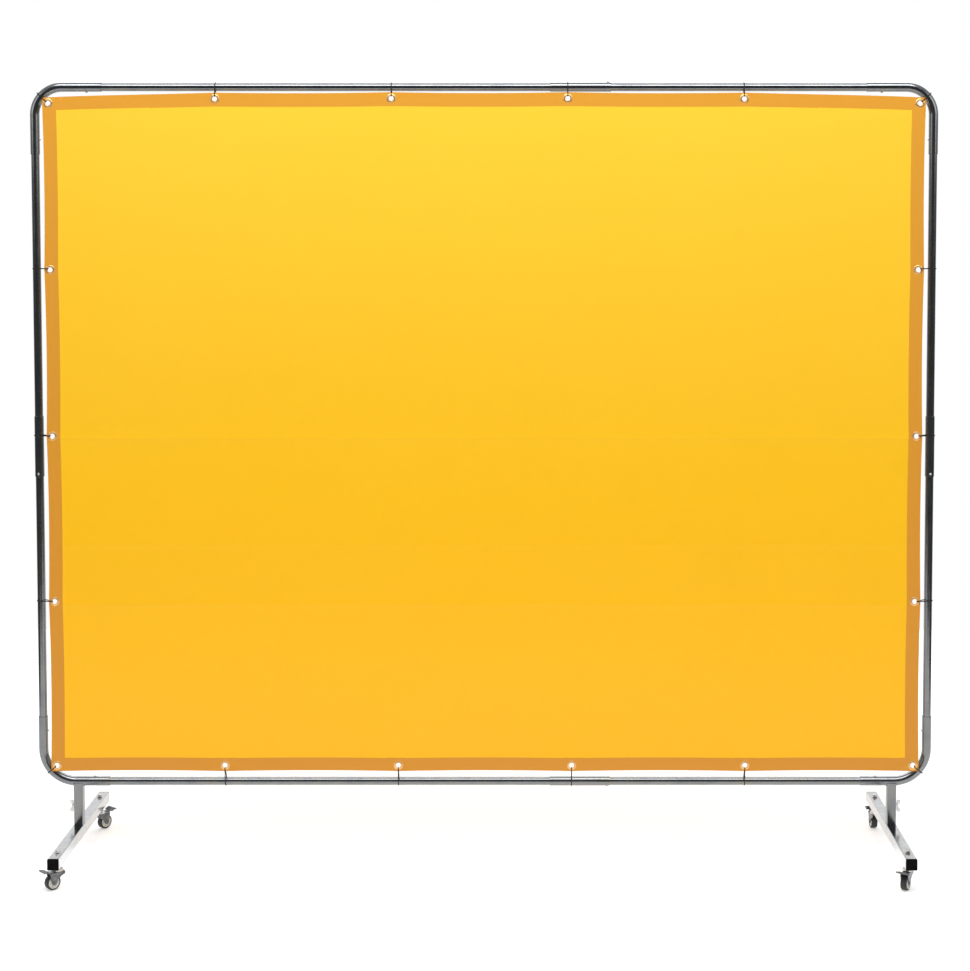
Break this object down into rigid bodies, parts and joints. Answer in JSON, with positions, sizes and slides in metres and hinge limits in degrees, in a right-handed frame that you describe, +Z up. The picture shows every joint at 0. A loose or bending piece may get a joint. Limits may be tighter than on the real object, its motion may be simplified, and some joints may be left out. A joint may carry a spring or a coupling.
{
  "type": "welding curtain screen",
  "caption": "Free-standing welding screen: a round-tube frame laced with a translucent yellow vinyl curtain, on two square foot rails with braked swivel casters.",
  "frame": {"origin": "on the floor, under the middle of the tube frame", "axes": "+X across the screen to the viewer's right when facing its curtain, -Y towards the viewer, +Z up"},
  "size_m": [2.4436, 0.56, 2.1295],
  "materials": {
    "plated_tube": "bright zinc-plated round steel tube",
    "zinc_rail": "satin galvanised square steel tube",
    "zinc_hardware": "zinc-plated pressed steel and fasteners",
    "yellow_vinyl": "translucent welding-grade PVC film with heat-sealed hems",
    "black_plastic": "moulded black nylon and polyethylene",
    "wheel_rubber": "grey thermoplastic rubber tyre on a white plastic hub"
  },
  "bodies": {
    "root": {"top_left_corner": "plated_tube", "top_right_corner": "plated_tube", "bottom_left_corner": "plated_tube", "bottom_right_corner": "plated_tube", "top_long_rail": "plated_tube", "top_short_rail": "plated_tube", "bottom_long_rail": "plated_tube", "bottom_short_rail": "plated_tube", "left_upper_post": "plated_tube", "left_lower_post": "plated_tube", "right_upper_post": "plated_tube", "right_lower_post": "plated_tube", "curtain": "yellow_vinyl", "top_inner_left_tie": "black_plastic", "top_inner_right_tie": "black_plastic", "bottom_inner_left_tie": "black_plastic", "bottom_inner_right_tie": "black_plastic", "left_middle_tie": "black_plastic", "right_middle_tie": "black_plastic", "top_left_tie": "black_plastic", "top_right_tie": "black_plastic", "bottom_left_tie": "black_plastic", "bottom_right_tie": "black_plastic", "left_foot_rail": "zinc_rail", "right_foot_rail": "zinc_rail", "left_front_cap": "black_plastic", "left_rear_cap": "black_plastic", "right_front_cap": "black_plastic", "right_rear_cap": "black_plastic", "front_left_caster_stem": "zinc_hardware", "front_right_caster_stem": "zinc_hardware", "rear_left_caster_stem": "zinc_hardware", "rear_right_caster_stem": "zinc_hardware"},
    "top_left_rail_snap_button": {"top_left_rail_snap_button": "zinc_hardware"},
    "top_right_rail_snap_button": {"top_right_rail_snap_button": "zinc_hardware"},
    "bottom_left_rail_snap_button": {"bottom_left_rail_snap_button": "zinc_hardware"},
    "bottom_right_rail_snap_button": {"bottom_right_rail_snap_button": "zinc_hardware"},
    "top_left_post_snap_button": {"top_left_post_snap_button": "zinc_hardware"},
    "top_right_post_snap_button": {"top_right_post_snap_button": "zinc_hardware"},
    "bottom_left_post_snap_button": {"bottom_left_post_snap_button": "zinc_hardware"},
    "bottom_right_post_snap_button": {"bottom_right_post_snap_button": "zinc_hardware"},
    "top_sleeve_snap_button": {"top_sleeve_snap_button": "zinc_hardware"},
    "bottom_sleeve_snap_button": {"bottom_sleeve_snap_button": "zinc_hardware"},
    "left_sleeve_snap_button": {"left_sleeve_snap_button": "zinc_hardware"},
    "right_sleeve_snap_button": {"right_sleeve_snap_button": "zinc_hardware"},
    "left_wing_screw": {"left_wing_screw": "zinc_hardware"},
    "right_wing_screw": {"right_wing_screw": "zinc_hardware"},
    "front_left_caster_fork": {"front_left_caster_fork": "zinc_hardware"},
    "front_left_caster_wheel": {"front_left_caster_wheel": "wheel_rubber"},
    "front_left_caster_brake": {"front_left_caster_brake": "zinc_hardware"},
    "front_right_caster_fork": {"front_right_caster_fork": "zinc_hardware"},
    "front_right_caster_wheel": {"front_right_caster_wheel": "wheel_rubber"},
    "front_right_caster_brake": {"front_right_caster_brake": "zinc_hardware"},
    "rear_left_caster_fork": {"rear_left_caster_fork": "zinc_hardware"},
    "rear_left_caster_wheel": {"rear_left_caster_wheel": "wheel_rubber"},
    "rear_left_caster_brake": {"rear_left_caster_brake": "zinc_hardware"},
    "rear_right_caster_fork": {"rear_right_caster_fork": "zinc_hardware"},
    "rear_right_caster_wheel": {"rear_right_caster_wheel": "wheel_rubber"},
    "rear_right_caster_brake": {"rear_right_caster_brake": "zinc_hardware"}
  },
  "joints": [
    {"name": "top_left_rail_button_press", "type": "slide", "parent": "root", "child": "top_left_rail_snap_button", "axis": [0, 0, 1], "range_m": [0, 0.0035], "stiffness_N_per_m": 1200, "springref_m": -0.002},
    {"name": "top_right_rail_button_press", "type": "slide", "parent": "root", "child": "top_right_rail_snap_button", "axis": [0, 0, 1], "range_m": [0, 0.0035], "stiffness_N_per_m": 1200, "springref_m": -0.002},
    {"name": "bottom_left_rail_button_press", "type": "slide", "parent": "root", "child": "bottom_left_rail_snap_button", "axis": [0, 0, -1], "range_m": [0, 0.0035], "stiffness_N_per_m": 1200, "springref_m": -0.002},
    {"name": "bottom_right_rail_button_press", "type": "slide", "parent": "root", "child": "bottom_right_rail_snap_button", "axis": [0, 0, -1], "range_m": [0, 0.0035], "stiffness_N_per_m": 1200, "springref_m": -0.002},
    {"name": "top_left_post_button_press", "type": "slide", "parent": "root", "child": "top_left_post_snap_button", "axis": [-1, 0, 0], "range_m": [0, 0.0035], "stiffness_N_per_m": 1200, "springref_m": -0.002},
    {"name": "top_right_post_button_press", "type": "slide", "parent": "root", "child": "top_right_post_snap_button", "axis": [1, 0, 0], "range_m": [0, 0.0035], "stiffness_N_per_m": 1200, "springref_m": -0.002},
    {"name": "bottom_left_post_button_press", "type": "slide", "parent": "root", "child": "bottom_left_post_snap_button", "axis": [-1, 0, 0], "range_m": [0, 0.0035], "stiffness_N_per_m": 1200, "springref_m": -0.002},
    {"name": "bottom_right_post_button_press", "type": "slide", "parent": "root", "child": "bottom_right_post_snap_button", "axis": [1, 0, 0], "range_m": [0, 0.0035], "stiffness_N_per_m": 1200, "springref_m": -0.002},
    {"name": "top_sleeve_button_press", "type": "slide", "parent": "root", "child": "top_sleeve_snap_button", "axis": [0, 0, -1], "range_m": [0, 0.0035], "stiffness_N_per_m": 1200, "springref_m": -0.002},
    {"name": "bottom_sleeve_button_press", "type": "slide", "parent": "root", "child": "bottom_sleeve_snap_button", "axis": [0, 0, 1], "range_m": [0, 0.0035], "stiffness_N_per_m": 1200, "springref_m": -0.002},
    {"name": "left_sleeve_button_press", "type": "slide", "parent": "root", "child": "left_sleeve_snap_button", "axis": [0, 1, 0], "range_m": [0, 0.0035], "stiffness_N_per_m": 1200, "springref_m": -0.002},
    {"name": "right_sleeve_button_press", "type": "slide", "parent": "root", "child": "right_sleeve_snap_button", "axis": [0, 1, 0], "range_m": [0, 0.0035], "stiffness_N_per_m": 1200, "springref_m": -0.002},
    {"name": "left_wing_screw_turn", "type": "hinge", "parent": "root", "child": "left_wing_screw", "pos_m": [-1.132, 0, 0.144], "axis": [-1, 0, 0], "range_deg": [0, 720]},
    {"name": "right_wing_screw_turn", "type": "hinge", "parent": "root", "child": "right_wing_screw", "pos_m": [1.132, 0, 0.144], "axis": [1, 0, 0], "range_deg": [0, 720]},
    {"name": "front_left_swivel", "type": "hinge", "parent": "root", "child": "front_left_caster_fork", "pos_m": [-1.112, -0.23, 0.05], "axis": [0, 0, 1], "continuous": true},
    {"name": "front_left_wheel_roll", "type": "hinge", "parent": "front_left_caster_fork", "child": "front_left_caster_wheel", "pos_m": [-1.1237, -0.24091, 0.02], "axis": [0.682, -0.7314, 0], "continuous": true},
    {"name": "front_left_brake_tread", "type": "hinge", "parent": "front_left_caster_fork", "child": "front_left_caster_brake", "pos_m": [-1.12882, -0.24569, 0.04452], "axis": [0.682, -0.7314, 0], "range_deg": [0, 15]},
    {"name": "front_right_swivel", "type": "hinge", "parent": "root", "child": "front_right_caster_fork", "pos_m": [1.112, -0.23, 0.05], "axis": [0, 0, 1], "continuous": true},
    {"name": "front_right_wheel_roll", "type": "hinge", "parent": "front_right_caster_fork", "child": "front_right_caster_wheel", "pos_m": [1.104, -0.24386, 0.02], "axis": [0.866, -0.5, 0], "continuous": true},
    {"name": "front_right_brake_tread", "type": "hinge", "parent": "front_right_caster_fork", "child": "front_right_caster_brake", "pos_m": [1.1005, -0.24992, 0.04452], "axis": [0.866, -0.5, 0], "range_deg": [0, 15]},
    {"name": "rear_left_swivel", "type": "hinge", "parent": "root", "child": "rear_left_caster_fork", "pos_m": [-1.112, 0.23, 0.05], "axis": [0, 0, 1], "continuous": true},
    {"name": "rear_left_wheel_roll", "type": "hinge", "parent": "rear_left_caster_fork", "child": "rear_left_caster_wheel", "pos_m": [-1.10171, 0.24226, 0.02], "axis": [-0.766, 0.6428, 0], "continuous": true},
    {"name": "rear_left_brake_tread", "type": "hinge", "parent": "rear_left_caster_fork", "child": "rear_left_caster_brake", "pos_m": [-1.09722, 0.24762, 0.04452], "axis": [-0.766, 0.6428, 0], "range_deg": [0, 15]},
    {"name": "rear_right_swivel", "type": "hinge", "parent": "root", "child": "rear_right_caster_fork", "pos_m": [1.112, 0.23, 0.05], "axis": [0, 0, 1], "continuous": true},
    {"name": "rear_right_wheel_roll", "type": "hinge", "parent": "rear_right_caster_fork", "child": "rear_right_caster_wheel", "pos_m": [1.11061, 0.24594, 0.02], "axis": [-0.9962, -0.0872, 0], "continuous": true},
    {"name": "rear_right_brake_tread", "type": "hinge", "parent": "rear_right_caster_fork", "child": "rear_right_caster_brake", "pos_m": [1.11, 0.25291, 0.04452], "axis": [-0.9962, -0.0872, 0], "range_deg": [0, 15]}
  ]
}
